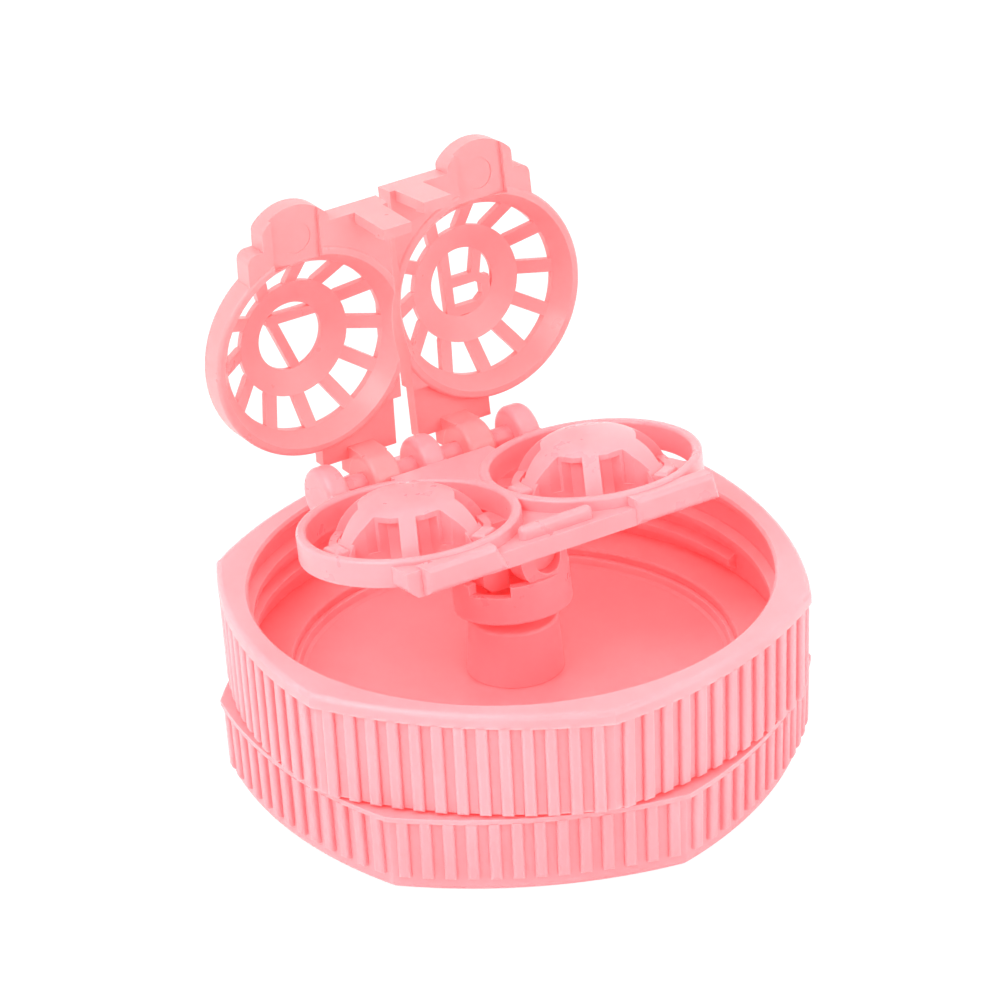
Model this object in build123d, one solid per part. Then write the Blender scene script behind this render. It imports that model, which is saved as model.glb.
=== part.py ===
from build123d import *
import math
import os

# Contact lens washing device: a screw cap that stands on its turning knob, with a swivelling
# lens holder and two hinged lids on the knob's spindle.
# Frame: origin on the resting plane below the cap's axis, +Z up the axis, +X along the lid hinge,
# +Y towards the hinge side. Millimetres and degrees.

# ---- grips: the cap ring and the knob are rounded hexagons with vertical ribs ----
LIP_CORNER_R = 27.0
CAP_LIP_PROUD = 0.65
CAP_CORE_TOP_R = LIP_CORNER_R - CAP_LIP_PROUD
CAP_SAGITTA = 2.16
CAP_CORNER_ANGLE = 17.0
KNOB_SAGITTA = 2.08
KNOB_CORNER_ANGLE = 32.2
RIBS_PER_FACET = 13
RIB_CORNER_GAP = 0.87
RIB_PITCH = (CAP_CORE_TOP_R - RIB_CORNER_GAP) / RIBS_PER_FACET
RIB_WIDTH = 1.06
RIB_PROUD = 0.52
RIB_ROOT = 0.9
RIB_ROUND = 0.33

# ---- knob ----
KNOB_INSET = 0.95
KNOB_DRAFT = 0.3
KNOB_TOP_Z = 7.65
KNOB_CORE_TOP_R = LIP_CORNER_R - KNOB_INSET
KNOB_CORE_BOTTOM_R = KNOB_CORE_TOP_R - KNOB_DRAFT
KNOB_BAND_HEIGHT = 0.45
KNOB_BAND_PROUD = 0.5
KNOB_RIB_BOTTOM_Z = 1.45
KNOB_FOOT_ROUND = 0.8
KNOB_WALL = 1.7
KNOB_FLOOR = 2.4
HUB_R = 4.9
HUB_HEIGHT = 1.2
HUB_TOP_Z = KNOB_FLOOR + HUB_HEIGHT
DRIVE_SQUARE = 4.0
DRIVE_DEPTH = 1.05
DRIVE_BOTTOM_Z = HUB_TOP_Z - DRIVE_DEPTH
DRIVE_CLEARANCE = 0.05

# ---- knob cover disc, screw and washer ----
COVER_R = 12.0
COVER_THICKNESS = 0.7
COVER_SETBACK = 0.25
COVER_CLEARANCE = 0.05
SCREW_HEAD_R = 2.0
SCREW_HEAD_HEIGHT = 1.1
SCREW_SHANK_R = 0.95
SCREW_LENGTH = 4.2
SCREW_TIP_GAP = 0.2
SCREW_SLOT_WIDTH = 0.5
SCREW_SLOT_DEPTH = 0.5
SCREW_CLEARANCE = 0.06
WASHER_THICKNESS = 0.6
WASHER_PROUD = 0.1
WASHER_GAP = 0.1

# ---- cap ring ----
KNOB_GAP = 0.3
CAP_HEIGHT = 10.2
CAP_DRAFT = 0.28
CAP_WALL = 3.51
CAP_BOTTOM_Z = KNOB_TOP_Z + KNOB_GAP
CAP_TOP_Z = CAP_BOTTOM_Z + CAP_HEIGHT
CAP_CORE_BOTTOM_R = CAP_CORE_TOP_R - CAP_DRAFT
LIP_HEIGHT = 1.28
LIP_ROUND = 0.5
MOUTH_R = LIP_CORNER_R - CAP_WALL
MOUTH_LAND = 0.7
MOUTH_CHAMFER = 0.25
THREAD_RELIEF = 0.46
THREAD_RELIEF_HEIGHT = 0.5
THREAD_DEPTH = 0.85
THREAD_ROOT_R = MOUTH_R + THREAD_RELIEF
THREAD_CREST_R = THREAD_ROOT_R - THREAD_DEPTH
THREAD_PITCH = 2.4
THREAD_TURNS = 1.75
THREAD_ROOT_WIDTH = 1.5
THREAD_SINK = 0.25
THREAD_CREST_WIDTH = 0.6
FLOOR_THICKNESS = 1.05
FLOOR_Z = CAP_BOTTOM_Z + FLOOR_THICKNESS
FLOOR_ROUND = 0.5
FLOOR_ROUND_FOOT = 0.25
FLOOR_ROUND_RISE = 0.2
SEAT_HEIGHT = 0.72
SEAT_WIDTH = 4.5
SEAT_DRAFT = 0.1
SEAT_Z = FLOOR_Z + SEAT_HEIGHT
SEAT_INNER_R = THREAD_ROOT_R - SEAT_WIDTH
THREAD_START_RISE = 2.18
THREAD_START_Z = SEAT_Z + THREAD_START_RISE
BEARING_BORE_R = 3.05
BEARING_WALL = 1.9
BEARING_BOTTOM_Z = HUB_TOP_Z + WASHER_THICKNESS + WASHER_GAP

# ---- seal ring on the cap's seat ----
SEAL_THICKNESS = 0.78
SEAL_SETBACK = 0.45
SEAL_INNER_R = SEAT_INNER_R + SEAL_SETBACK
SEAL_SIDE_GAP = 0.02
SEAL_ROUND = 0.25

# ---- shaft seal ----
SEAL_GROOVE_RISE = 2.0
SEAL_GROOVE_Z = BEARING_BOTTOM_Z + SEAL_GROOVE_RISE
SEAL_GROOVE_WIDTH = 0.95
O_RING_SECTION_R = 0.4
O_RING_STRETCH = 0.02

# ---- spindle: the boss above the floor and the shaft through it ----
SHAFT_CLEARANCE = 0.05
BOSS_BASE_R = 4.4
BOSS_TOP_R = 4.05
BOSS_HEIGHT = 5.3
BOSS_TOP_Z = FLOOR_Z + BOSS_HEIGHT
BOSS_FLOOR_GAP = 0.05
BOSS_ROUND = 0.35

# ---- lean joint: hidden pin along X between the boss and the swivel collar ----
LEAN_PIVOT_BELOW_TOP = 1.09
LEAN_PIVOT_Z = BOSS_TOP_Z - LEAN_PIVOT_BELOW_TOP
LEAN_ANGLE = 7.58
LEAN_PIN_R = 0.9
LEAN_PIN_LEFT = 2.9
LEAN_PIN_RIGHT = 3.5
PIN_PRESS_GAP = 0.02
PIN_RUNNING_GAP = 0.05
LEAN_LINK_WIDTH = 2.4
LEAN_LINK_R = 1.5
LEAN_LINK_SIDE_GAP = 0.12
LEAN_LINK_SWING_GAP = 0.4

# ---- holder frame: origin midway between the ring centres on the ring-top plane ----
RING_OUTER_R = 10.03
RING_OVERLAP = 0.47
RING_X = RING_OUTER_R - RING_OVERLAP
RING_WALL = 0.93
RING_HEIGHT = 2.45
RING_ROUND = 0.3
LEAN_PIVOT_Y = 0.47
LEAN_PIVOT_DEPTH = 13.2

# ---- swivel collar, in the holder's frame ----
COLLAR_R = 5.35
COLLAR_BOTTOM_Z = -11.1
COLLAR_FLOOR = 1.5
COLLAR_WALL = 0.95
COLLAR_FOOT_ROUND = 0.35
COLLAR_WALL_TOP_Z = -7.5
COLLAR_NOTCH_Z = -8.45
COLLAR_NOTCH_START = 195.0
COLLAR_NOTCH_END = 239.0
EAR_FACE_Y = 4.9
EAR_INNER_Y = 2.45
EAR_R = 2.8
EAR_SIDE_X = 4.1
EAR_STALK_X = 0.3
EAR_TOP_Z = -3.0

# ---- rock joint: pin along Y through the collar's ears and the holder's lug ----
ROCK_PIVOT_X = 1.3
ROCK_PIVOT_Z = -5.7
ROCK_PIN_R = 1.45
ROCK_PIN_SETBACK = 1.2
LUG_R = 2.15
LUG_SIDE_GAP = 0.12
FIN_LEFT_X = -3.6
FIN_RIGHT_X = -1.0
FIN_HALF_THICKNESS = 1.5
FIN_BOTTOM_Z = -8.8
FIN_CHAMFER = 0.8
STEM_HEAD_BOTTOM_Z = -4.3
STEM_HEAD_RIGHT_X = 3.4

# ---- webs and latch bar of the holder ----
WEB_TOP_Z = -0.2
WEB_BOTTOM_Z = -2.3
BACK_WEB_HALF_WIDTH = 5.2
BACK_WEB_FRONT_Y = 2.6
FRONT_WEB_TOP_Z = -1.2
FRONT_WEB_HALF_WIDTH = 4.6
FRONT_WEB_BACK_Y = -3.2
LATCH_INSET = 0.58
LATCH_DEPTH = 1.7
LATCH_BACK_Y = LATCH_INSET - RING_OUTER_R
LATCH_FRONT_Y = LATCH_BACK_Y - LATCH_DEPTH
LATCH_TOP_Z = -0.3
LATCH_BOTTOM_Z = -2.78
LATCH_MID_DEPTH = 1.4
LATCH_MID_FRONT_Y = LATCH_BACK_Y - LATCH_MID_DEPTH
LATCH_MID_TOP_Z = -1.2
LATCH_LEFT_OUTER_X = -14.5
LATCH_LEFT_INNER_X = -7.2
LATCH_RIGHT_INNER_X = 7.2
LATCH_RIGHT_OUTER_X = 15.5
LATCH_SLANT = 1.2
LATCH_ROUND = 0.5
LATCH_END_INSET = 1.4
LATCH_END_SETBACK = 0.34
KEEPER_LEFT_X = -3.9
KEEPER_RIGHT_X = 3.5
KEEPER_DEPTH = 1.05
KEEPER_BACK_Y = LATCH_BACK_Y + 0.55
KEEPER_FRONT_Y = KEEPER_BACK_Y - KEEPER_DEPTH
KEEPER_ROUND = 0.45
STOP_LEFT_X = -16.0
STOP_FRONT_Y = -10.3
STOP_BACK_Y = -7.6
STOP_TOP_Z = -0.5
STOP_BOTTOM_Z = -2.95
STOP_CHAMFER = 0.9

# ---- lens cradles: domed seats in the rings, with windows between a core and the skin ----
CRADLE_PROFILE = [
    (0, 2.35), (2.4, 2.28), (3.8, 2.0), (4.7, 1.5), (6.0, 0.35), (7.0, -1.1), (7.55, -2.5),
]
CRADLE_CORE_R = 3.7
CRADLE_SKIN = 1.0
CRADLE_BASE_HEIGHT = 1.0
CRADLE_POCKET_TOP_Z = 1.25
WINDOW_COUNT = 3
WINDOW_INNER_R = 4.35
WINDOW_CORE_HALF_ANGLE = 30.0
WINDOW_TOP_HALF_ANGLE = 42.0
WINDOW_FOOT_HALF_ANGLE = 52.0
WINDOW_BAR = 1.5
SPOKE_WIDTH = 2.1
SPOKE_TOP_Z = -1.35
SPOKE_SINK = 0.08
NUB_REACH = 8.25
NUB_TOP_Z = -0.45
NUB_ROUND = 0.4

# ---- lid hinge ----
HINGE_OFFSET = 3.37
HINGE_Y = RING_OUTER_R + HINGE_OFFSET
HINGE_Z = -1.30
HINGE_BARREL_R = 2.75
HINGE_PIN_R = 1.1
HINGE_END_X = 11.23
HINGE_OUTER_X = 9.02
HINGE_MID_X = 1.16
HINGE_PIN_GAP = 0.2
HINGE_ARM_TOP_Z = -0.4
HINGE_ARM_INTO_RING = 0.7
HINGE_ARM_INSET = 0.15
HINGE_ROUND = 0.7
LID_BARREL_ROUND = 0.5
LID_BARREL_INNER_X = 3.60
LID_BARREL_OUTER_X = 6.41
HINGE_CLEARANCE = 0.35

# ---- lids, closed over the cradles; reach is the distance from the hinge line ----
LID_OPEN_LEFT = 84.0
LID_OPEN_RIGHT = 89.5
LID_TO_RING_X = 0.11
LID_BEYOND_RING = 0.05
LID_RIM_INSET = 0.08
LID_X = RING_X - LID_TO_RING_X
LID_REACH = HINGE_Y + LID_BEYOND_RING
LID_RIM_R = RING_OUTER_R - LID_RIM_INSET
LID_RIM_REACH = LID_REACH + LID_RIM_R
LID_RIM_WALL = 0.85
LID_RIM_BOTTOM_Z = 0.3
LID_RIM_TOP_Z = 2.9
LID_ROUND = 0.35
LID_INNER_EDGE_X = 0.83
LID_INNER_EDGE_WALL = 0.6
LID_PLATE_BOTTOM_Z = 0.45
LID_PLATE_TOP_Z = 2.5
LID_PLATE_REACH = LID_RIM_REACH + 2.1
BOWL_PROFILE = [(9.2, 0.3), (8.05, 1.95), (5.51, 3.95), (3.23, 4.65)]
BOWL_SKIN_OUT = 0.3
BOWL_SKIN_UP = 0.47
LID_RIB_WIDTH = 1.25
LID_WINDOWS = 12
LEG_INNER_X = 1.24
LEG_OUTER_X = 8.93
LEG_START_REACH = 1.55
LEG_END_REACH = 6.4
LEG_BOTTOM_Z = 1.2
LEG_TOP_Z = 2.5
TAB_INNER_X = 6.95
TAB_OUTER_X = 13.75
TAB_SIDE_REACH = LID_RIM_REACH + 2.7
TAB_REACH = LID_RIM_REACH + 4.35
TAB_ROUND = 0.8
TAB_PANEL_DEPTH = 0.4
TAB_PANEL_REACH = LID_RIM_REACH - 1.2
TAB_LIP = 0.95
SHOULDER_X = 15.4
SHOULDER_REACH = LID_RIM_REACH + 0.9
SHOULDER_ROUND = 0.9
DIMPLE_X = 10.2
DIMPLE_REACH = LID_RIM_REACH + 1.2
DIMPLE_R = 1.5
DIMPLE_DEPTH = 0.08
HOOK_INNER_X = 1.4
HOOK_OUTER_X = 4.3
HOOK_GAP = 0.25
HOOK_BACK_REACH = HINGE_Y - LATCH_MID_FRONT_Y + HOOK_GAP
HOOK_THICKNESS = 1.0
HOOK_TIP_Z = -4.5
HOOK_BARB = 0.2
HOOK_BARB_HEIGHT = 1.5
HOOK_TOP_Z = 2.5
MARK_BAR = 0.9
MARK_THICKNESS = 0.8
MARK_SINK = 0.35

TINY = 0.01


def polar(radius, angle):
    return (radius * math.cos(math.radians(angle)), radius * math.sin(math.radians(angle)))


def block(x0, x1, y0, y1, z0, z1):
    """A box between two corners."""
    return Pos((x0 + x1) / 2, (y0 + y1) / 2, (z0 + z1) / 2) * Box(x1 - x0, y1 - y0, z1 - z0)


def tube(outer_r, inner_r, z0, z1):
    """A vertical tube, or a disc where inner_r is 0."""
    body = Pos(0, 0, (z0 + z1) / 2) * Cylinder(outer_r, z1 - z0)
    if inner_r > 0:
        body -= Pos(0, 0, (z0 + z1) / 2) * Cylinder(inner_r, z1 - z0 + 1)
    return body


def rod_x(radius, x0, x1, y, z):
    """A cylinder along X."""
    return Pos((x0 + x1) / 2, y, z) * Rot(Y=90) * Cylinder(radius, x1 - x0)


def rod_y(radius, y0, y1, x, z):
    """A cylinder along Y."""
    return Pos(x, (y0 + y1) / 2, z) * Rot(X=90) * Cylinder(radius, y1 - y0)


def turned(points, smooth_from=None, smooth_to=None):
    """Revolve an (r, z) outline about Z; the points between the two indices join by one curve."""
    vertices = [Vector(r, 0, z) for r, z in points]
    edges = []
    index = 0
    while index < len(vertices):
        if smooth_from is not None and index == smooth_from:
            edges.append(Spline(*vertices[smooth_from:smooth_to + 1]))
            index = smooth_to
        else:
            edges.append(Line(vertices[index], vertices[(index + 1) % len(vertices)]))
            index += 1
    return revolve(Face(Wire(edges)), Axis.Z, 360)


def hexagon_wire(corner_r, sagitta, corner_angle, z):
    """A hexagon whose six sides bulge outwards by the sagitta."""
    corners = [Vector(*polar(corner_r, corner_angle + 60 * k), z) for k in range(6)]
    bulge_r = corner_r * math.cos(math.radians(30)) + sagitta
    edges = []
    for k in range(6):
        crown = Vector(*polar(bulge_r, corner_angle + 60 * k + 30), z)
        edges.append(ThreePointArc(corners[k], crown, corners[(k + 1) % 6]))
    return Wire(edges)


def hexagon_solid(r_bottom, r_top, sagitta, corner_angle, z_bottom, z_top):
    lower = hexagon_wire(r_bottom, sagitta, corner_angle, z_bottom)
    upper = hexagon_wire(r_top, sagitta, corner_angle, z_top)
    return Solid.make_loft([lower, upper], ruled=True)


def facet_ribs(r_bottom, r_top, sagitta, corner_angle, z_bottom, z_top, round_bottom):
    """The vertical grip ribs of all six sides, leaning with the draft of the wall behind them."""
    height = z_top - z_bottom
    rib = block(-RIB_ROOT, RIB_PROUD, -RIB_WIDTH / 2, RIB_WIDTH / 2, 0, height)
    outer = rib.faces().sort_by(Axis.X)[-1]
    rounded = list(outer.edges().filter_by(Axis.Z))
    if round_bottom:
        rounded.append(outer.edges().sort_by(Axis.Z)[0])
    rib = fillet(rounded, RIB_ROUND)
    draft = math.degrees(math.atan((r_top - r_bottom) / height))
    half_chord = r_bottom / 2
    arc_r = (half_chord**2 + sagitta**2) / (2 * sagitta)
    centre_r = r_bottom * math.cos(math.radians(30)) + sagitta - arc_r
    ribs = []
    for facet in range(6):
        facet_frame = Rot(Z=corner_angle + 60 * facet + 30) * Pos(centre_r, 0, 0)
        for column in range(RIBS_PER_FACET):
            offset = (column - (RIBS_PER_FACET - 1) / 2) * RIB_PITCH
            swing = math.degrees(math.asin(offset / arc_r))
            ribs.append(facet_frame * Rot(Z=swing) * Pos(arc_r, 0, z_bottom) * Rot(Y=draft) * rib)
    return ribs


def make_cap_ring():
    lip_bottom = CAP_TOP_Z - LIP_HEIGHT
    core = hexagon_solid(
        CAP_CORE_BOTTOM_R, CAP_CORE_TOP_R, CAP_SAGITTA, CAP_CORNER_ANGLE, CAP_BOTTOM_Z, lip_bottom
    )
    lip = extrude(
        Face(hexagon_wire(LIP_CORNER_R, CAP_SAGITTA, CAP_CORNER_ANGLE, lip_bottom)), LIP_HEIGHT
    )
    lip = fillet(lip.faces().sort_by(Axis.Z)[-1].edges(), LIP_ROUND)
    ribs = facet_ribs(
        CAP_CORE_BOTTOM_R, CAP_CORE_TOP_R, CAP_SAGITTA, CAP_CORNER_ANGLE,
        CAP_BOTTOM_Z, lip_bottom + TINY, True,
    )
    body = core + lip + ribs
    cup = turned([
        (0, CAP_TOP_Z + 1),
        (MOUTH_R + MOUTH_CHAMFER, CAP_TOP_Z + 1),
        (MOUTH_R + MOUTH_CHAMFER, CAP_TOP_Z),
        (MOUTH_R, CAP_TOP_Z - MOUTH_CHAMFER),
        (MOUTH_R, CAP_TOP_Z - MOUTH_LAND),
        (THREAD_ROOT_R, CAP_TOP_Z - MOUTH_LAND - THREAD_RELIEF_HEIGHT),
        (THREAD_ROOT_R, SEAT_Z),
        (SEAT_INNER_R, SEAT_Z),
        (SEAT_INNER_R - SEAT_DRAFT, FLOOR_Z + FLOOR_ROUND),
        (SEAT_INNER_R - FLOOR_ROUND_FOOT, FLOOR_Z + FLOOR_ROUND_RISE),
        (SEAT_INNER_R - FLOOR_ROUND - SEAT_DRAFT, FLOOR_Z),
        (0, FLOOR_Z),
    ])
    body -= cup
    body += tube(BEARING_BORE_R + BEARING_WALL, 0, BEARING_BOTTOM_Z, FLOOR_Z)
    body -= tube(BEARING_BORE_R, 0, BEARING_BOTTOM_Z - 1, FLOOR_Z + 1)
    return body + make_thread()


def make_thread():
    """The vial's thread: a tapered ridge wound inside the wall, sunk a little into it."""
    path = Pos(0, 0, THREAD_START_Z) * Helix(THREAD_PITCH, THREAD_PITCH * THREAD_TURNS, THREAD_ROOT_R)
    depth = THREAD_ROOT_R - THREAD_CREST_R
    slope = (THREAD_ROOT_WIDTH - THREAD_CREST_WIDTH) / 2 / depth
    sunk_half = THREAD_ROOT_WIDTH / 2 + slope * THREAD_SINK
    crest_half = THREAD_CREST_WIDTH / 2
    outline = Polyline(
        (THREAD_SINK, -sunk_half), (THREAD_SINK, sunk_half), (-depth, crest_half), (-depth, -crest_half),
        close=True,
    )
    profile_plane = Plane(origin=path @ 0, x_dir=(1, 0, 0), z_dir=path % 0)
    return sweep(profile_plane * Face(Wire(outline.edges())), path, is_frenet=True)


def make_seal_ring():
    ring = tube(THREAD_ROOT_R - SEAL_SIDE_GAP, SEAL_INNER_R, SEAT_Z, SEAT_Z + SEAL_THICKNESS)
    inner_top = ring.edges().filter_by(GeomType.CIRCLE).group_by(Axis.Z)[-1].sort_by(SortBy.RADIUS)[0]
    return fillet(inner_top, SEAL_ROUND)


def make_knob_shell():
    core = hexagon_solid(
        KNOB_CORE_BOTTOM_R, KNOB_CORE_TOP_R, KNOB_SAGITTA, KNOB_CORNER_ANGLE, 0, KNOB_TOP_Z
    )
    core = fillet(core.faces().sort_by(Axis.Z)[0].edges(), KNOB_FOOT_ROUND)
    band_bottom = KNOB_TOP_Z - KNOB_BAND_HEIGHT
    band_r = KNOB_CORE_TOP_R + KNOB_BAND_PROUD / math.cos(math.radians(30))
    band = extrude(
        Face(hexagon_wire(band_r, KNOB_SAGITTA, KNOB_CORNER_ANGLE, band_bottom)), KNOB_BAND_HEIGHT
    )
    draft_share = KNOB_RIB_BOTTOM_Z / KNOB_TOP_Z
    rib_bottom_r = KNOB_CORE_BOTTOM_R + (KNOB_CORE_TOP_R - KNOB_CORE_BOTTOM_R) * draft_share
    ribs = facet_ribs(
        rib_bottom_r, KNOB_CORE_TOP_R, KNOB_SAGITTA, KNOB_CORNER_ANGLE,
        KNOB_RIB_BOTTOM_Z, band_bottom + TINY, True,
    )
    body = core + band + ribs
    inner_r = KNOB_CORE_BOTTOM_R - KNOB_WALL
    body -= hexagon_solid(
        inner_r, inner_r, KNOB_SAGITTA, KNOB_CORNER_ANGLE, KNOB_FLOOR, KNOB_TOP_Z + 1
    )
    body += tube(HUB_R, 0, KNOB_FLOOR - TINY, HUB_TOP_Z)
    socket = DRIVE_SQUARE / 2 + DRIVE_CLEARANCE
    body -= block(-socket, socket, -socket, socket, DRIVE_BOTTOM_Z - DRIVE_CLEARANCE, HUB_TOP_Z + 1)
    body -= tube(COVER_R + COVER_CLEARANCE, 0, -1, COVER_SETBACK + COVER_THICKNESS)
    body -= tube(SCREW_HEAD_R + SCREW_CLEARANCE, 0, 0, screw_seat_z())
    body -= tube(SCREW_SHANK_R + SCREW_CLEARANCE, 0, 0, DRIVE_BOTTOM_Z + 1)
    return body


def screw_seat_z():
    return COVER_SETBACK + COVER_THICKNESS + SCREW_HEAD_HEIGHT


def make_knob_cover():
    disc = tube(COVER_R, 0, COVER_SETBACK, COVER_SETBACK + COVER_THICKNESS)
    rim = disc.edges().filter_by(GeomType.CIRCLE).sort_by(Axis.Z)[0]
    return chamfer(rim, COVER_THICKNESS / 3)


def make_knob_screw():
    head_bottom = COVER_SETBACK + COVER_THICKNESS
    seat = screw_seat_z()
    head = tube(SCREW_HEAD_R, 0, head_bottom, seat)
    slot = block(
        -SCREW_HEAD_R - 1, SCREW_HEAD_R + 1, -SCREW_SLOT_WIDTH / 2, SCREW_SLOT_WIDTH / 2,
        head_bottom - 1, head_bottom + SCREW_SLOT_DEPTH,
    )
    return head - slot + tube(SCREW_SHANK_R, 0, seat - TINY, seat + SCREW_LENGTH)


def make_thrust_washer():
    return tube(HUB_R - WASHER_PROUD, BEARING_BORE_R, HUB_TOP_Z, HUB_TOP_Z + WASHER_THICKNESS)


def make_spindle():
    shaft_r = BEARING_BORE_R - SHAFT_CLEARANCE
    boss_bottom = FLOOR_Z + BOSS_FLOOR_GAP
    boss = Pos(0, 0, boss_bottom) * Cone(
        BOSS_BASE_R, BOSS_TOP_R, BOSS_TOP_Z - boss_bottom, align=(Align.CENTER, Align.CENTER, Align.MIN)
    )
    boss = fillet(boss.edges().filter_by(GeomType.CIRCLE).sort_by(Axis.Z)[-1], BOSS_ROUND)
    body = boss + tube(shaft_r, 0, HUB_TOP_Z, boss_bottom + TINY)
    half = DRIVE_SQUARE / 2
    body += block(-half, half, -half, half, DRIVE_BOTTOM_Z, HUB_TOP_Z + TINY)
    groove_r = shaft_r - 2 * O_RING_SECTION_R
    body -= tube(shaft_r + 1, groove_r, SEAL_GROOVE_Z, SEAL_GROOVE_Z + SEAL_GROOVE_WIDTH)
    body -= tube(SCREW_SHANK_R + SCREW_CLEARANCE, 0, 0, screw_seat_z() + SCREW_LENGTH + SCREW_TIP_GAP)
    pocket_x = LEAN_LINK_WIDTH / 2 + LEAN_LINK_SIDE_GAP
    pocket_y = LEAN_LINK_R + LEAN_LINK_SWING_GAP
    pocket_bottom = LEAN_PIVOT_Z - LEAN_LINK_R - LEAN_LINK_SWING_GAP
    body -= block(-pocket_x, pocket_x, -pocket_y, pocket_y, pocket_bottom, BOSS_TOP_Z + 1)
    return body - rod_x(LEAN_PIN_R + PIN_PRESS_GAP, -LEAN_PIN_LEFT, BOSS_BASE_R + 1, 0, LEAN_PIVOT_Z)


def make_shaft_seal():
    centre_r = BEARING_BORE_R - SHAFT_CLEARANCE - O_RING_SECTION_R + O_RING_STRETCH
    return Pos(0, 0, SEAL_GROOVE_Z + SEAL_GROOVE_WIDTH / 2) * Torus(centre_r, O_RING_SECTION_R)


def make_lean_pin():
    return rod_x(LEAN_PIN_R, -LEAN_PIN_LEFT, LEAN_PIN_RIGHT, 0, LEAN_PIVOT_Z)


def make_swivel_collar():
    floor_top = COLLAR_BOTTOM_Z + COLLAR_FLOOR
    cup = tube(COLLAR_R, 0, COLLAR_BOTTOM_Z, COLLAR_WALL_TOP_Z)
    cup = fillet(cup.edges().filter_by(GeomType.CIRCLE).sort_by(Axis.Z)[0], COLLAR_FOOT_ROUND)
    cup -= tube(COLLAR_R - COLLAR_WALL, 0, floor_top, COLLAR_WALL_TOP_Z + 1)
    body = cup + [make_ear(-1), make_ear(1)]
    notch_points = [(0, 0)]
    for angle in (COLLAR_NOTCH_START, (COLLAR_NOTCH_START + COLLAR_NOTCH_END) / 2, COLLAR_NOTCH_END):
        notch_points.append(polar(2 * COLLAR_R, angle))
    notch = extrude(make_face(Polyline(*notch_points, close=True)), COLLAR_WALL_TOP_Z - COLLAR_NOTCH_Z + 1)
    body -= Pos(0, 0, COLLAR_NOTCH_Z) * notch
    body -= block(-COLLAR_R, COLLAR_R, -EAR_INNER_Y, EAR_INNER_Y, floor_top, EAR_TOP_Z + 1) & tube(
        COLLAR_R - COLLAR_WALL, 0, floor_top, EAR_TOP_Z + 1
    )
    body -= rod_y(ROCK_PIN_R + PIN_PRESS_GAP, -COLLAR_R - 1, COLLAR_R + 1, ROCK_PIVOT_X, ROCK_PIVOT_Z)
    half = LEAN_LINK_WIDTH / 2
    link = block(
        -half, half, LEAN_PIVOT_Y - LEAN_LINK_R, LEAN_PIVOT_Y + LEAN_LINK_R,
        -LEAN_PIVOT_DEPTH, COLLAR_BOTTOM_Z + COLLAR_FLOOR / 2,
    )
    link += rod_x(LEAN_LINK_R, -half, half, LEAN_PIVOT_Y, -LEAN_PIVOT_DEPTH)
    body += link
    return body - rod_x(
        LEAN_PIN_R + PIN_RUNNING_GAP, -half - 1, half + 1, LEAN_PIVOT_Y, -LEAN_PIVOT_DEPTH
    )


def make_ear(side):
    """One ear of the collar: a round end on a stalk, with a flat outer face."""
    y_inner = side * EAR_INNER_Y
    y_outer = side * EAR_FACE_Y
    y0 = min(y_inner, y_outer)
    y1 = max(y_inner, y_outer)
    ear = rod_y(EAR_R, y0, y1, ROCK_PIVOT_X, ROCK_PIVOT_Z)
    ear += block(EAR_STALK_X, EAR_SIDE_X, y0, y1, COLLAR_BOTTOM_Z + COLLAR_FLOOR - TINY, ROCK_PIVOT_Z)
    ear -= block(-COLLAR_R, COLLAR_R, y0 - 1, y1 + 1, EAR_TOP_Z, EAR_TOP_Z + EAR_R)
    reach = tube(COLLAR_R, 0, COLLAR_BOTTOM_Z, EAR_TOP_Z)
    return ear & reach


def make_rock_pin():
    half = EAR_FACE_Y - ROCK_PIN_SETBACK
    return rod_y(ROCK_PIN_R, -half, half, ROCK_PIVOT_X, ROCK_PIVOT_Z)


def make_holder_frame():
    rings = Part()
    for side in (-1, 1):
        ring = tube(RING_OUTER_R, RING_OUTER_R - RING_WALL, -RING_HEIGHT, 0)
        ring = fillet(ring.edges().filter_by(GeomType.CIRCLE).group_by(Axis.Z)[-1], RING_ROUND)
        rings += Pos(side * RING_X, 0, 0) * ring
    return rings + make_webs() + make_latch_bar() + make_stem() + make_base_knuckles()


def ring_holes():
    """The open inside of both rings, used to trim what joins them."""
    inner = Cylinder(RING_OUTER_R - RING_WALL + TINY, 4 * RING_HEIGHT)
    return [Pos(side * RING_X, 0, 0) * inner for side in (-1, 1)]


def make_webs():
    back_y = HINGE_Y - HINGE_BARREL_R - HINGE_CLEARANCE
    back = block(
        -BACK_WEB_HALF_WIDTH, BACK_WEB_HALF_WIDTH, BACK_WEB_FRONT_Y, back_y, WEB_BOTTOM_Z, WEB_TOP_Z
    )
    front = block(
        -FRONT_WEB_HALF_WIDTH, FRONT_WEB_HALF_WIDTH, LATCH_BACK_Y, FRONT_WEB_BACK_Y,
        WEB_BOTTOM_Z, FRONT_WEB_TOP_Z,
    )
    return back + front - ring_holes()


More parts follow.
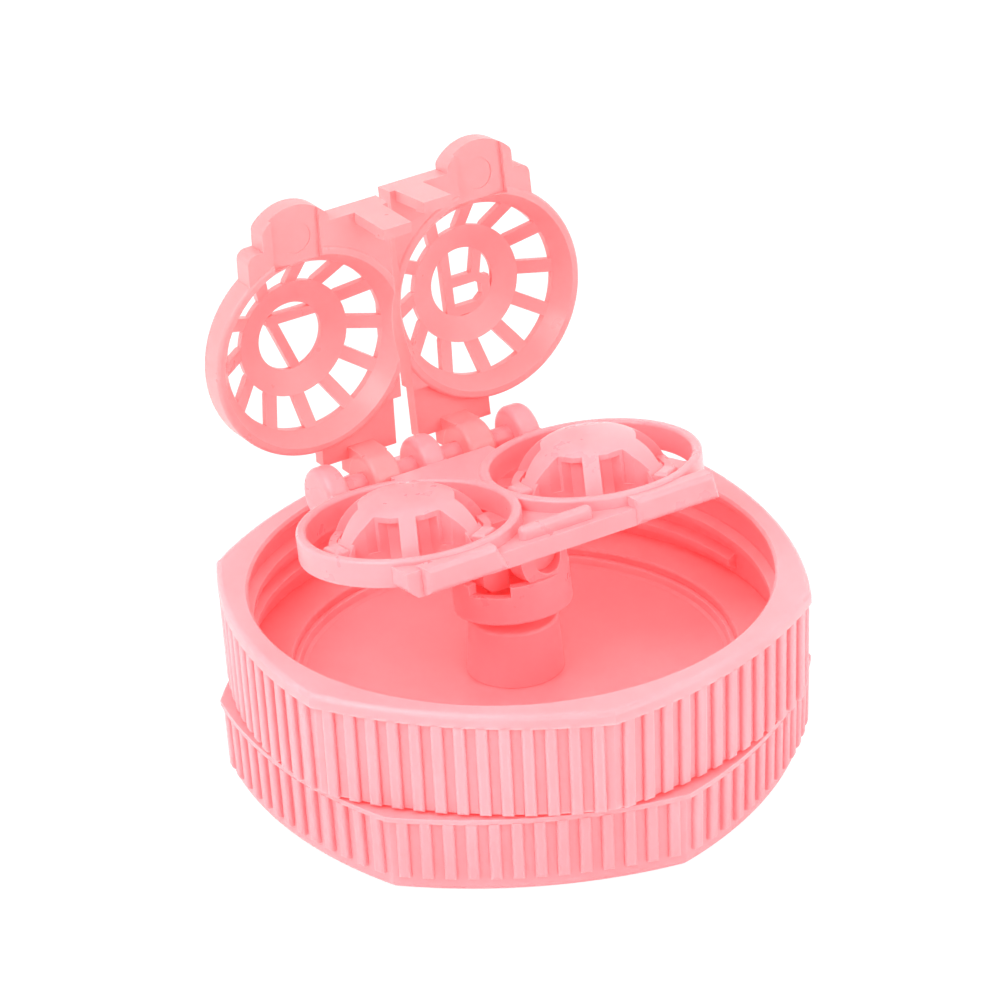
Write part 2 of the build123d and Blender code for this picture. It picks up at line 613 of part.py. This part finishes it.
def make_latch_bar():
    def rounded_tab(x0, x1, slant_inner):
        outline = Polyline(
            (x0, LATCH_TOP_Z), (x1, LATCH_TOP_Z), (x1 + slant_inner, LATCH_BOTTOM_Z),
            (x0, LATCH_BOTTOM_Z), close=True,
        )
        depth = LATCH_BACK_Y - LATCH_FRONT_Y
        tab = extrude(Plane.XZ * make_face(outline), depth)
        tab = Pos(0, LATCH_BACK_Y, 0) * tab
        front = tab.faces().sort_by(Axis.Y)[0]
        return fillet(front.edges(), LATCH_ROUND)

    left = rounded_tab(LATCH_LEFT_OUTER_X, LATCH_LEFT_INNER_X, LATCH_SLANT)
    right = rounded_tab(LATCH_RIGHT_INNER_X, LATCH_RIGHT_OUTER_X, LATCH_ROUND)
    middle = block(
        LATCH_LEFT_INNER_X - 1, LATCH_RIGHT_INNER_X + 1, LATCH_MID_FRONT_Y, LATCH_BACK_Y,
        LATCH_BOTTOM_Z, LATCH_MID_TOP_Z,
    )
    keeper = block(
        KEEPER_LEFT_X, KEEPER_RIGHT_X, KEEPER_FRONT_Y, KEEPER_BACK_Y, LATCH_MID_TOP_Z - 0.5, 0
    )
    keeper_top = keeper.faces().sort_by(Axis.Z)[-1]
    keeper = fillet(keeper.edges().filter_by(Axis.Z) + keeper_top.edges(), KEEPER_ROUND)
    seat = block(
        LATCH_LEFT_INNER_X, LATCH_RIGHT_INNER_X, LATCH_BACK_Y - 0.5, KEEPER_BACK_Y + 0.6,
        LATCH_BOTTOM_Z, LATCH_MID_TOP_Z,
    )
    stop = block(STOP_LEFT_X, LATCH_LEFT_OUTER_X + 0.5, STOP_FRONT_Y, STOP_BACK_Y, STOP_BOTTOM_Z, STOP_TOP_Z)
    stop = chamfer(stop.edges().filter_by(Axis.Y).group_by(Axis.X)[0].sort_by(Axis.Z)[0], STOP_CHAMFER)
    ends = Part() + [
        block(LATCH_LEFT_OUTER_X + 0.5, -RING_X, LATCH_BACK_Y - 0.2, LATCH_END_INSET - RING_OUTER_R,
              -RING_HEIGHT, LATCH_TOP_Z - LATCH_END_SETBACK),
        block(RING_X, LATCH_RIGHT_OUTER_X - LATCH_ROUND, LATCH_BACK_Y - 0.2, LATCH_END_INSET - RING_OUTER_R,
              -RING_HEIGHT, LATCH_TOP_Z - LATCH_END_SETBACK),
    ]
    return left + right + middle + keeper + seat + stop + ends - ring_holes()


def make_stem():
    """The hanging stem: a head under the rings, a guide fin and the lug that the rock pin crosses."""
    head = block(
        FIN_LEFT_X, STEM_HEAD_RIGHT_X, -FIN_HALF_THICKNESS, FIN_HALF_THICKNESS,
        STEM_HEAD_BOTTOM_Z, -RING_HEIGHT + TINY,
    )
    fin = block(
        FIN_LEFT_X, FIN_RIGHT_X, -FIN_HALF_THICKNESS, FIN_HALF_THICKNESS, FIN_BOTTOM_Z, STEM_HEAD_BOTTOM_Z + 1
    )
    fin = chamfer(fin.edges().filter_by(Axis.Y).group_by(Axis.Z)[0].sort_by(Axis.X)[0], FIN_CHAMFER)
    lug_y = EAR_INNER_Y - LUG_SIDE_GAP
    lug = rod_y(LUG_R, -lug_y, lug_y, ROCK_PIVOT_X, ROCK_PIVOT_Z)
    neck = block(
        ROCK_PIVOT_X - LUG_R, ROCK_PIVOT_X + LUG_R, -FIN_HALF_THICKNESS, FIN_HALF_THICKNESS,
        ROCK_PIVOT_Z, STEM_HEAD_BOTTOM_Z + 1,
    )
    bore = rod_y(ROCK_PIN_R + PIN_RUNNING_GAP, -lug_y - 1, lug_y + 1, ROCK_PIVOT_X, ROCK_PIVOT_Z)
    return head + fin + lug + neck - bore


def make_base_knuckles():
    spans = [
        (-HINGE_END_X, -HINGE_OUTER_X), (-HINGE_MID_X, HINGE_MID_X), (HINGE_OUTER_X, HINGE_END_X),
    ]
    body = Part()
    for x0, x1 in spans:
        barrel = rod_x(HINGE_BARREL_R, x0, x1, HINGE_Y, HINGE_Z)
        barrel = fillet(barrel.edges().filter_by(GeomType.CIRCLE), HINGE_ROUND)
        arm = block(
            x0 + HINGE_ARM_INSET, x1 - HINGE_ARM_INSET, RING_OUTER_R - HINGE_ARM_INTO_RING, HINGE_Y,
            -RING_HEIGHT, HINGE_ARM_TOP_Z,
        )
        body += [barrel, arm]
    body -= rod_x(HINGE_PIN_R + PIN_PRESS_GAP, -HINGE_END_X - 1, HINGE_END_X + 1, HINGE_Y, HINGE_Z)
    return body - ring_holes()


def make_hinge_pin(side):
    low, high = mirrored(HINGE_PIN_GAP / 2, HINGE_END_X, side)
    return rod_x(HINGE_PIN_R, low, high, HINGE_Y, HINGE_Z)


def make_cradle(side):
    foot_r, foot_z = CRADLE_PROFILE[-1]
    crown_z = CRADLE_PROFILE[0][1]
    dome = turned(CRADLE_PROFILE + [(0, foot_z)], 0, len(CRADLE_PROFILE) - 1)
    for index in range(WINDOW_COUNT):
        centre = 360 / WINDOW_COUNT * index
        bar = block(0, foot_r, -WINDOW_BAR / 2, WINDOW_BAR / 2, foot_z - 1, crown_z + 1)
        dome -= make_cradle_window(centre) - Rot(Z=centre) * bar
    spokes = Part()
    spoke_outer = RING_OUTER_R - RING_WALL + SPOKE_SINK
    spoke_inner = foot_r - WINDOW_BAR / 2
    half = SPOKE_WIDTH / 2
    for index in range(WINDOW_COUNT):
        turn = Rot(Z=360 / WINDOW_COUNT * (index + 0.5))
        spokes += turn * block(spoke_inner, spoke_outer, -half, half, -RING_HEIGHT, SPOKE_TOP_Z)
        nub = block(spoke_inner, NUB_REACH, -half, half, -RING_HEIGHT, NUB_TOP_Z)
        spokes += turn * fillet(nub.faces().sort_by(Axis.Z)[-1].edges(), NUB_ROUND)
    return Pos(side * RING_X, 0, 0) * (dome + spokes)


def make_cradle_window(centre):
    """A cutter from the core outwards: an undercut pocket below the crown and a window through the skin."""
    foot_r, foot_z = CRADLE_PROFILE[-1]
    crown_z = CRADLE_PROFILE[0][1]
    base_z = foot_z + CRADLE_BASE_HEIGHT
    shares = (-1, -0.5, 0, 0.5, 1)
    core = [polar(CRADLE_CORE_R, centre + share * WINDOW_CORE_HALF_ANGLE) for share in shares]
    top = [polar(WINDOW_INNER_R, centre + share * WINDOW_TOP_HALF_ANGLE) for share in shares]
    skin_r = foot_r - CRADLE_SKIN
    skin = [polar(skin_r, centre + share * WINDOW_FOOT_HALF_ANGLE) for share in reversed(shares)]
    foot = [polar(foot_r + 1, centre + share * WINDOW_FOOT_HALF_ANGLE) for share in reversed(shares)]
    pocket = extrude(make_face(Polyline(*(core + skin), close=True)), CRADLE_POCKET_TOP_Z - foot_z + 1)
    window = extrude(make_face(Polyline(*(top + foot), close=True)), crown_z + 1 - base_z)
    return Pos(0, 0, foot_z - 1) * pocket + Pos(0, 0, base_z) * window


def mirrored(x0, x1, side):
    return (min(side * x0, side * x1), max(side * x0, side * x1))


def lid_block(x0, x1, reach0, reach1, z0, z1, side):
    """A box on one lid, given by its distances from the centre plane and from the hinge line."""
    low, high = mirrored(x0, x1, side)
    return block(low, high, HINGE_Y - reach1, HINGE_Y - reach0, z0, z1)


def make_lid(side):
    """One lid in its closed place."""
    centre = Pos(side * LID_X, HINGE_Y - LID_REACH, 0)
    rim = tube(LID_RIM_R, 0, LID_RIM_BOTTOM_Z, LID_RIM_TOP_Z)
    rim = fillet(rim.edges().filter_by(GeomType.CIRCLE), LID_ROUND)
    body = make_lid_plate(side) + centre * rim
    body -= make_rim_hollow(side)
    body += centre * make_bowl()
    body -= centre * make_bowl_mouth()
    body -= [centre * window for window in make_lid_windows()]
    body -= centre * Cylinder(BOWL_PROFILE[-1][0], 4 * LID_RIM_R)
    body -= lid_block(
        -LID_RIM_R, LID_INNER_EDGE_X, -HINGE_Y, 2 * HINGE_Y + LID_RIM_R, -LID_RIM_R, LID_RIM_R, side
    )
    body -= make_tab_panel(side)
    body += make_lid_leg(side) + make_hook(side)
    body += make_mark(side)
    barrel_low, barrel_high = mirrored(LID_BARREL_INNER_X, LID_BARREL_OUTER_X, side)
    barrel = rod_x(HINGE_BARREL_R, barrel_low, barrel_high, HINGE_Y, HINGE_Z)
    body += fillet(barrel.edges().filter_by(GeomType.CIRCLE), LID_BARREL_ROUND)
    return body - rod_x(HINGE_PIN_R + PIN_RUNNING_GAP, barrel_low - 1, barrel_high + 1, HINGE_Y, HINGE_Z)


def make_lid_plate(side):
    """The flat plate round the dish, one outline with the finger tab and its shoulder."""
    def at(x, reach):
        return (side * x, HINGE_Y - reach)

    tab_middle = (TAB_INNER_X + TAB_OUTER_X) / 2
    sides = Polyline(
        at(TAB_OUTER_X, TAB_SIDE_REACH),
        at(TAB_OUTER_X, SHOULDER_REACH),
        at(SHOULDER_X, SHOULDER_REACH),
        at(SHOULDER_X, LID_REACH + LID_RIM_R / 2),
        at(LID_X, LEG_END_REACH),
        at(LID_INNER_EDGE_X, LEG_END_REACH),
        at(LID_INNER_EDGE_X, LID_PLATE_REACH),
        at(TAB_INNER_X, LID_PLATE_REACH),
        at(TAB_INNER_X, TAB_SIDE_REACH),
    )
    crown = ThreePointArc(
        at(TAB_INNER_X, TAB_SIDE_REACH), at(tab_middle, TAB_REACH), at(TAB_OUTER_X, TAB_SIDE_REACH)
    )
    thickness = LID_PLATE_TOP_Z - LID_PLATE_BOTTOM_Z
    plate = extrude(Face(Wire(sides.edges() + [crown])), thickness, dir=(0, 0, 1))
    plate = Pos(0, 0, LID_PLATE_BOTTOM_Z) * plate
    for x, radius in ((TAB_INNER_X, TAB_ROUND), (TAB_OUTER_X, TAB_ROUND), (SHOULDER_X, SHOULDER_ROUND)):
        plate = round_far_corner(plate, side * x, radius)
    return plate


def make_tab_panel(side):
    """A shallow recess in the tab's lens side, between two lips, with a round dimple in it."""
    panel_top = LID_PLATE_BOTTOM_Z + TAB_PANEL_DEPTH
    panel = lid_block(
        TAB_INNER_X + TAB_LIP, TAB_OUTER_X - TAB_LIP, TAB_PANEL_REACH, TAB_REACH + 1, -1, panel_top, side
    )
    dimple = Pos(side * DIMPLE_X, HINGE_Y - DIMPLE_REACH, panel_top) * Cylinder(DIMPLE_R, 2 * DIMPLE_DEPTH)
    return panel + dimple


def round_far_corner(plate, x, radius):
    """Round the upright edge of a lid's plate that stands at x and farthest from the hinge."""
    upright = plate.edges().filter_by(Axis.Z)
    at_x = upright.filter_by(lambda edge: abs(edge.center().X - x) < TINY)
    return fillet(at_x.sort_by(Axis.Y)[0], radius)


def make_rim_hollow(side):
    """What the rim's wall leaves open behind the dish, up to the straight inner edge."""
    beyond_edge = lid_block(
        LID_INNER_EDGE_X + LID_INNER_EDGE_WALL, LID_X + LID_RIM_R, LID_REACH - LID_RIM_R,
        LID_REACH + LID_RIM_R, -LID_RIM_R, LID_RIM_R, side,
    )
    inside_wall = tube(LID_RIM_R - LID_RIM_WALL, 0, -LID_RIM_R, LID_RIM_R)
    return beyond_edge & (Pos(side * LID_X, HINGE_Y - LID_REACH, 0) * inside_wall)


def make_bowl():
    """The thin dish that faces the lens, from its mouth to the hub hole."""
    hole_r, hole_z = BOWL_PROFILE[-1]
    inside = [(hole_r - 1, hole_z), (hole_r - 1, hole_z + BOWL_SKIN_UP)]
    skin = [(r + BOWL_SKIN_OUT, z + BOWL_SKIN_UP) for r, z in reversed(BOWL_PROFILE)]
    return turned(BOWL_PROFILE + inside + skin)


def make_bowl_mouth():
    """Clears the open side of the dish."""
    mouth_r = BOWL_PROFILE[0][0]
    hole_z = BOWL_PROFILE[-1][1]
    return turned([(0, -1), (mouth_r, -1)] + BOWL_PROFILE + [(0, hole_z)])


def make_lid_windows():
    """Cutters for the windows between the radial ribs, which keep one width."""
    pitch = 360 / LID_WINDOWS
    outer_r = BOWL_PROFILE[1][0]
    inner_r = BOWL_PROFILE[2][0]
    inner_half = math.degrees(math.asin(LID_RIB_WIDTH / 2 / inner_r))
    outer_half = math.degrees(math.asin(LID_RIB_WIDTH / 2 / outer_r))
    windows = []
    for index in range(LID_WINDOWS):
        start = pitch * index
        outer_arc = [polar(outer_r, start + a) for a in (outer_half, pitch / 2, pitch - outer_half)]
        inner_arc = [polar(inner_r, start + a) for a in (pitch - inner_half, pitch / 2, inner_half)]
        outline = Wire([
            ThreePointArc(*outer_arc),
            Line(outer_arc[2], inner_arc[0]),
            ThreePointArc(*inner_arc),
            Line(inner_arc[2], outer_arc[0]),
        ])
        windows.append(Pos(0, 0, -LID_RIM_R) * extrude(Face(outline), 2 * LID_RIM_R, dir=(0, 0, 1)))
    return windows


def make_lid_leg(side):
    """The plate that crosses the gap beside the disc, with the arm down to the hinge barrel."""
    plate = lid_block(
        LEG_INNER_X, LEG_OUTER_X, LEG_START_REACH, LEG_END_REACH + 0.5, LEG_BOTTOM_Z, LEG_TOP_Z, side
    )
    arm = lid_block(
        LID_BARREL_INNER_X + 0.1, LID_BARREL_OUTER_X - 0.1, 0, HINGE_BARREL_R, HINGE_Z, LEG_TOP_Z, side
    )
    disc = Pos(side * LID_X, HINGE_Y - LID_REACH, 0) * Cylinder(LID_RIM_R - LID_ROUND, 2 * LID_RIM_R)
    return plate - disc + arm


def make_hook(side):
    """The latch hook: an arm across the front of the holder with a small lip at its tip."""
    arm = lid_block(
        HOOK_INNER_X, HOOK_OUTER_X, HOOK_BACK_REACH, HOOK_BACK_REACH + HOOK_THICKNESS,
        HOOK_TIP_Z, HOOK_TOP_Z, side,
    )
    low, high = mirrored(HOOK_INNER_X, HOOK_OUTER_X, side)
    y_back = HINGE_Y - HOOK_BACK_REACH
    barb_outline = Polyline(
        (y_back - TINY, HOOK_TIP_Z),
        (y_back - TINY, HOOK_TIP_Z + HOOK_BARB_HEIGHT),
        (y_back + HOOK_BARB, HOOK_TIP_Z + HOOK_BARB_HEIGHT),
        close=True,
    )
    barb = Pos(low, 0, 0) * extrude(Plane.YZ * make_face(barb_outline), high - low)
    return arm + barb


def bar(start, end):
    """One straight bar of a mark, square-ended, from (x, reach) to (x, reach) about the hub."""
    span_x = end[0] - start[0]
    span_y = start[1] - end[1]
    middle = Pos((start[0] + end[0]) / 2, -(start[1] + end[1]) / 2, MARK_THICKNESS / 2)
    turn = Rot(Z=math.degrees(math.atan2(span_y, span_x)))
    return middle * turn * Box(math.hypot(span_x, span_y) + MARK_BAR, MARK_BAR, MARK_THICKNESS)


def make_mark(side):
    """Plain bars across the hub hole that tell the left eye's lid from the right eye's."""
    if side < 0:
        corner = (-1.8, 1.95)
        bars = bar(corner, (3.0, 1.9)) + bar(corner, (0.4, -3.2))
    else:
        bars = bar((-1.5, 3.0), (-1.4, -3.0)) + bar((-1.4, 0.1), (1.5, 0.1)) + bar((1.5, 0.3), (2.1, 3.0))
        bars += bar((-1.4, -2.7), (1.5, -2.7)) + bar((1.5, 0.1), (2.45, -0.5))
        bars += bar((2.45, -0.5), (2.5, -1.9)) + bar((2.5, -1.9), (1.5, -2.7))
    hub_r, hub_z = BOWL_PROFILE[-1]
    bars &= Cylinder(hub_r + MARK_SINK, 4 * MARK_THICKNESS)
    return Pos(side * LID_X, HINGE_Y - LID_REACH, hub_z) * bars


def export_nodes():
    holder_at = (
        Pos(0, 0, LEAN_PIVOT_Z) * Rot(X=-LEAN_ANGLE) * Pos(0, -LEAN_PIVOT_Y, LEAN_PIVOT_DEPTH)
    )
    hinge = Pos(0, HINGE_Y, HINGE_Z)
    nodes = {
        "cap_ring": make_cap_ring(),
        "seal_ring": make_seal_ring(),
        "thrust_washer": make_thrust_washer(),
        "knob_shell": make_knob_shell(),
        "knob_cover": make_knob_cover(),
        "knob_screw": make_knob_screw(),
        "spindle": make_spindle(),
        "shaft_seal": make_shaft_seal(),
        "lean_pin": make_lean_pin(),
        "swivel_collar": holder_at * make_swivel_collar(),
        "rock_pin": holder_at * make_rock_pin(),
        "holder_frame": holder_at * make_holder_frame(),
    }
    for name, side, opening in (("left", -1, LID_OPEN_LEFT), ("right", 1, LID_OPEN_RIGHT)):
        nodes[f"lens_cradle_{name}"] = holder_at * make_cradle(side)
        nodes[f"hinge_pin_{name}"] = holder_at * make_hinge_pin(side)
        lid_at = holder_at * hinge * Rot(X=-opening) * hinge.inverse()
        nodes[f"lid_{name}"] = lid_at * make_lid(side)
    os.makedirs("parts", exist_ok=True)
    for name, solid in nodes.items():
        export_step(solid, f"parts/{name}.step")


export_nodes()
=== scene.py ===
import math

import bpy
from mathutils import Matrix, Vector

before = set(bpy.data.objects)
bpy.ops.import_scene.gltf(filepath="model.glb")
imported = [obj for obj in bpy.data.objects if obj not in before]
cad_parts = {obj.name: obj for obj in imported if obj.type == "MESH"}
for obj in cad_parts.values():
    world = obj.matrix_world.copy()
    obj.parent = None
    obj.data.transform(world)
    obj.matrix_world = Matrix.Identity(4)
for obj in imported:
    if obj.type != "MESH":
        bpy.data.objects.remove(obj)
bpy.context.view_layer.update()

MM = 0.001

# Camera: the fitted view, in millimetres in its own upright frame, then turned into the part's frame.
CAMERA_ELEVATION = math.radians(27.63)
CAMERA_ROLL = math.radians(-2.74)
CAMERA_TURN = math.radians(-31.06)
CAMERA_DISTANCE = 627.9
CAMERA_TARGET_HEIGHT = 9.0
CAMERA_TARGET_RIGHT = -0.689
CAMERA_TARGET_UP = 14.82
CAMERA_LENS = 252.0
SENSOR_WIDTH = 36.0
CAMERA_CLIP_END_M = 20.0

# Base colours, as linear values.
PINK = (0.98, 0.295, 0.325)
LID_PINK = (0.80, 0.265, 0.275)
SEAL_PINK = (0.98, 0.285, 0.31)
STEEL = (0.50, 0.50, 0.52)

# Plastic: noises as (scale in cells per metre, detail, roughness).
CLOUD_NOISE = (90.0, 3.0, 0.55)
FLOW_NOISE = (260.0, 4.0, 0.6)
SKIN_NOISE = (1600.0, 1.0, 0.4)
TINT_STOPS = (0.32, 0.68)
TINT_SHADES = ((0.985, 0.93, 0.93), (1.01, 1.05, 1.05))
GLOSS_NOISE_RANGE = (0.3, 0.7)
GLOSS_SPREAD = (-0.05, 0.07)
SKIN_STRENGTH = 0.2
SKIN_HEIGHT = 0.002
PLASTIC_IOR = 1.49
PLASTIC_SPECULAR = 0.5
SUBSURFACE_RADIUS = (1.0, 0.32, 0.30)
# A weak red glow, painted light on every plastic surface, stands in for light that the translucent plastic
# carries into its own hollows.
PAINTED_GLOW_COLOUR = (1.0, 0.13, 0.12)
PAINTED_GLOW_LEVEL = 0.12

# Steel: rings left by turning.
TURNING_SCALE = 900.0
TURNING_DISTORTION = 1.5
STEEL_ROUGHNESS = (0.25, 0.42)

# Finish: material name, base colour, mean roughness, depth in millimetres that light spreads to.
PLASTICS = {
    "cap": ("cap_plastic", PINK, 0.36, 3.0),
    "knob": ("knob_plastic", PINK, 0.36, 1.5),
    "holder": ("holder_plastic", PINK, 0.30, 0.6),
    "collar": ("collar_plastic", PINK, 0.30, 3.0),
    "lid": ("lid_plastic", LID_PINK, 0.32, 0.25),
    "pin": ("pin_plastic", PINK, 0.30, 0.8),
    "seal": ("seal_rubber", SEAL_PINK, 0.5, 0.2),
}
NODE_FINISH = {
    "cap_ring": "cap", "seal_ring": "seal", "thrust_washer": "pin",
    "knob_shell": "knob", "knob_cover": "knob", "knob_screw": "steel",
    "spindle": "knob", "shaft_seal": "seal", "lean_pin": "pin",
    "swivel_collar": "collar", "rock_pin": "collar", "holder_frame": "holder",
    "lens_cradle_left": "holder", "lens_cradle_right": "holder",
    "hinge_pin_left": "pin", "hinge_pin_right": "pin",
    "lid_left": "lid", "lid_right": "lid",
}

# Floor and world: what the camera sees is set apart from what lights the part.
WHITE = (1, 1, 1)
FLOOR_SIZE_M = 6.0
FLOOR_PAPER = (0.86, 0.85, 0.85)
FLOOR_SEEN = (0.12, 0.12, 0.12)
FLOOR_SEEN_GLOW = 0.93
WORLD_TINT = (1, 0.985, 0.98)
WORLD_LEVEL = 1.28
WORLD_SEEN_LEVEL = 1.0

# Softbox: name, offset to the camera's right, height, offset towards the camera, side (mm), power (W).
SOFTBOXES = (
    ("key", -350, 420, 250, 350, 2.1),
    ("fill", 420, 260, 320, 400, 1.1),
)
SOFTBOX_AIM = Vector((0, 0, 20))


def node_tree(owner):
    """Turn on an owner's nodes and return its node tree, emptied."""
    owner.use_nodes = True
    owner.node_tree.nodes.clear()
    return owner.node_tree


def make_node(tree, kind, inputs=None, **settings):
    """Add a shader node and set its settings and plain input values."""
    node = tree.nodes.new(kind)
    for key, value in settings.items():
        setattr(node, key, value)
    for name, value in (inputs or {}).items():
        node.inputs[name].default_value = value
    return node


def add_noise(tree, place, noise):
    """Add a noise over the object's own coordinates and return its value."""
    scale, detail, roughness = noise
    node = make_node(tree, "ShaderNodeTexNoise", {"Scale": scale, "Detail": detail, "Roughness": roughness})
    tree.links.new(place.outputs["Object"], node.inputs["Vector"])
    return node.outputs["Fac"]


def split_for_camera(tree, plain, seen, output_kind):
    """Show one shader to the camera and the other to all other light."""
    path = make_node(tree, "ShaderNodeLightPath")
    pick = make_node(tree, "ShaderNodeMixShader")
    tree.links.new(path.outputs["Is Camera Ray"], pick.inputs["Fac"])
    tree.links.new(plain.outputs[0], pick.inputs[1])
    tree.links.new(seen.outputs[0], pick.inputs[2])
    out = make_node(tree, output_kind)
    tree.links.new(pick.outputs[0], out.inputs["Surface"])


def moulded_plastic(name, colour, roughness, depth):
    """Satin injection-moulded plastic: light spreads inside it, the skin is never quite even, and a weak
    painted red glow lifts its shade.
    """
    material = bpy.data.materials.new(name)
    tree = node_tree(material)
    link = tree.links.new
    place = make_node(tree, "ShaderNodeTexCoord")

    tint = make_node(tree, "ShaderNodeValToRGB")
    for stop, position, shades in zip(tint.color_ramp.elements, TINT_STOPS, TINT_SHADES):
        stop.position = position
        stop.color = (*(channel * shade for channel, shade in zip(colour, shades)), 1)
    link(add_noise(tree, place, CLOUD_NOISE), tint.inputs["Fac"])

    gloss = make_node(tree, "ShaderNodeMapRange", {
        "From Min": GLOSS_NOISE_RANGE[0], "From Max": GLOSS_NOISE_RANGE[1],
        "To Min": roughness + GLOSS_SPREAD[0], "To Max": roughness + GLOSS_SPREAD[1],
    })
    link(add_noise(tree, place, FLOW_NOISE), gloss.inputs["Value"])

    bump = make_node(tree, "ShaderNodeBump", {"Strength": SKIN_STRENGTH, "Distance": SKIN_HEIGHT * MM})
    link(add_noise(tree, place, SKIN_NOISE), bump.inputs["Height"])

    shader = make_node(tree, "ShaderNodeBsdfPrincipled", {
        "Subsurface Weight": 1.0, "Subsurface Radius": SUBSURFACE_RADIUS, "Subsurface Scale": depth * MM,
        "IOR": PLASTIC_IOR, "Specular IOR Level": PLASTIC_SPECULAR,
        # Painted glow: a weak red emission that lifts the shade in hollows.
        "Emission Color": (*PAINTED_GLOW_COLOUR, 1), "Emission Strength": PAINTED_GLOW_LEVEL,
    })
    link(tint.outputs["Color"], shader.inputs["Base Color"])
    link(gloss.outputs["Result"], shader.inputs["Roughness"])
    link(bump.outputs["Normal"], shader.inputs["Normal"])
    out = make_node(tree, "ShaderNodeOutputMaterial")
    link(shader.outputs["BSDF"], out.inputs["Surface"])
    return material


def turned_steel(name):
    """Plain steel with fine turning marks."""
    material = bpy.data.materials.new(name)
    material.use_nodes = True
    tree = material.node_tree
    shader = tree.nodes["Principled BSDF"]
    shader.inputs["Base Color"].default_value = (*STEEL, 1)
    shader.inputs["Metallic"].default_value = 1.0
    place = make_node(tree, "ShaderNodeTexCoord")
    rings = make_node(tree, "ShaderNodeTexWave", {
        "Scale": TURNING_SCALE, "Distortion": TURNING_DISTORTION,
    }, wave_type="RINGS")
    tree.links.new(place.outputs["Object"], rings.inputs["Vector"])
    gloss = make_node(tree, "ShaderNodeMapRange", {
        "To Min": STEEL_ROUGHNESS[0], "To Max": STEEL_ROUGHNESS[1],
    })
    tree.links.new(rings.outputs["Fac"], gloss.inputs["Value"])
    tree.links.new(gloss.outputs["Result"], shader.inputs["Roughness"])
    return material


def add_finishes():
    """Make every finish and put it on its nodes."""
    finishes = {finish: moulded_plastic(*look) for finish, look in PLASTICS.items()}
    finishes["steel"] = turned_steel("screw_steel")
    for node_name, finish in NODE_FINISH.items():
        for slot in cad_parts[node_name].material_slots:
            slot.link = "OBJECT"
            slot.material = finishes[finish]


def add_floor():
    """A plain white floor that keeps a faint shadow of the object."""
    bpy.ops.mesh.primitive_plane_add(size=FLOOR_SIZE_M)
    floor = bpy.context.object
    floor.name = "floor"
    material = bpy.data.materials.new("floor_white")
    tree = node_tree(material)
    paper = make_node(tree, "ShaderNodeBsdfDiffuse", {"Color": (*FLOOR_PAPER, 1)})
    shadowed = make_node(tree, "ShaderNodeBsdfDiffuse", {"Color": (*FLOOR_SEEN, 1)})
    glow = make_node(tree, "ShaderNodeEmission", {"Color": (*WHITE, 1), "Strength": FLOOR_SEEN_GLOW})
    seen = make_node(tree, "ShaderNodeAddShader")
    tree.links.new(shadowed.outputs[0], seen.inputs[0])
    tree.links.new(glow.outputs[0], seen.inputs[1])
    split_for_camera(tree, paper, seen, "ShaderNodeOutputMaterial")
    floor.data.materials.append(material)


def add_world():
    """Soft even light all round, seen as white by the camera."""
    world = bpy.data.worlds.new("studio")
    bpy.context.scene.world = world
    tree = node_tree(world)
    soft = make_node(tree, "ShaderNodeBackground", {"Color": (*WORLD_TINT, 1), "Strength": WORLD_LEVEL})
    seen = make_node(tree, "ShaderNodeBackground", {"Color": (*WHITE, 1), "Strength": WORLD_SEEN_LEVEL})
    split_for_camera(tree, soft, seen, "ShaderNodeOutputWorld")


def view_frame():
    """Right, up and back directions and the centre of the fitted view, in the part's frame."""
    turn = Matrix.Rotation(CAMERA_TURN, 3, "Z")
    up = Vector((0, math.sin(CAMERA_ELEVATION), math.cos(CAMERA_ELEVATION)))
    back = Vector((0, -math.cos(CAMERA_ELEVATION), math.sin(CAMERA_ELEVATION)))
    right = Vector((1, 0, 0))
    centre = Vector((0, 0, CAMERA_TARGET_HEIGHT)) + right * CAMERA_TARGET_RIGHT + up * CAMERA_TARGET_UP
    rolled_right = right * math.cos(CAMERA_ROLL) + up * math.sin(CAMERA_ROLL)
    rolled_up = up * math.cos(CAMERA_ROLL) - right * math.sin(CAMERA_ROLL)
    return [turn @ vector for vector in (rolled_right, rolled_up, back, centre)]


def add_camera():
    """The camera of the fitted view."""
    right, up, back, centre = view_frame()
    data = bpy.data.cameras.new("camera")
    data.lens = CAMERA_LENS
    data.sensor_width = SENSOR_WIDTH
    data.clip_end = CAMERA_CLIP_END_M
    camera = bpy.data.objects.new("camera", data)
    basis = Matrix((right, up, back)).transposed().to_4x4()
    basis.translation = (centre + back * CAMERA_DISTANCE) * MM
    camera.matrix_world = basis
    bpy.context.collection.objects.link(camera)
    bpy.context.scene.camera = camera


def add_softbox(name, side, height, towards, size, power):
    """A square soft light placed by camera directions, in millimetres, aimed at the part."""
    right, _, back, _ = view_frame()
    level_back = Vector((back.x, back.y, 0)).normalized()
    data = bpy.data.lights.new(name, "AREA")
    data.shape = "SQUARE"
    data.size = size * MM
    data.energy = power
    lamp = bpy.data.objects.new(name, data)
    place = right * side + Vector((0, 0, height)) + level_back * towards
    lamp.location = place * MM
    lamp.rotation_euler = (SOFTBOX_AIM - place).to_track_quat("-Z", "Y").to_euler()
    bpy.context.collection.objects.link(lamp)


add_finishes()
add_floor()
add_world()
add_camera()
for softbox in SOFTBOXES:
    add_softbox(*softbox)

bpy.context.scene.view_settings.view_transform = "Standard"
